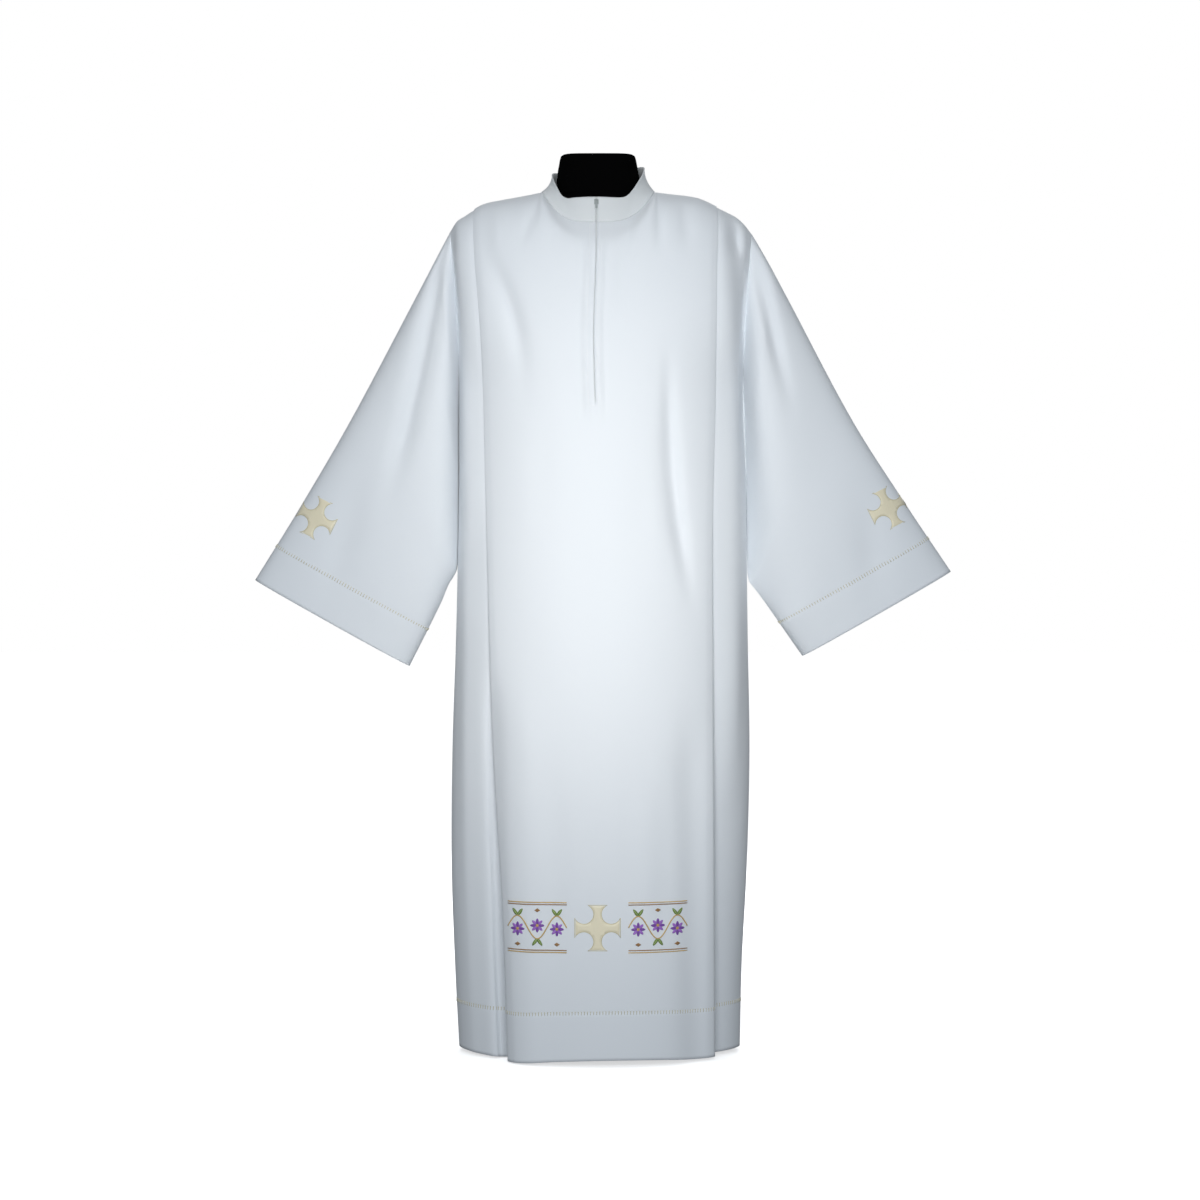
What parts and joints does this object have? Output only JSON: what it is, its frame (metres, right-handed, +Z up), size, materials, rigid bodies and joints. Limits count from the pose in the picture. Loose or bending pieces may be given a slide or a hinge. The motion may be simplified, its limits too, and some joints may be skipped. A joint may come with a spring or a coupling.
{
  "type": "alb robe on dress form",
  "caption": "White full-length alb with wide hanging sleeves, stand-up collar, short front zip and side pleats, worn by a limbless black dress form on a pole and round base.",
  "frame": {"origin": "on the floor, under the middle of the dress form's pole", "axes": "+Z up, the robe's front faces -Y, +X to the right as seen from the front"},
  "size_m": [1.1712, 0.3114, 1.503],
  "materials": {
    "alb_cloth": "matte",
    "cross_applique": "matte",
    "zip_tape_cloth": "matte",
    "zip_enamel": "satin",
    "form_jersey": "matte",
    "stand_steel": "satin"
  },
  "bodies": {
    "robe_and_form": {"front_panel": "alb_cloth", "back_panel": "alb_cloth", "sleeve_left": "alb_cloth", "sleeve_right": "alb_cloth", "collar": "alb_cloth", "zip_tape": "zip_tape_cloth", "zip_slider": "zip_enamel", "cross_left": "cross_applique", "cross_right": "cross_applique", "cross_hem": "cross_applique", "form_torso": "form_jersey", "form_pole": "stand_steel", "form_base": "stand_steel"},
    "pull_tab": {"zip_pull": "zip_enamel"}
  },
  "joints": [
    {"name": "zip_pull_swing", "type": "hinge", "parent": "robe_and_form", "child": "pull_tab", "pos_m": [-0.006, -0.07814, 1.41947], "axis": [-1, 0, 0], "range_deg": [0, 150]}
  ]
}
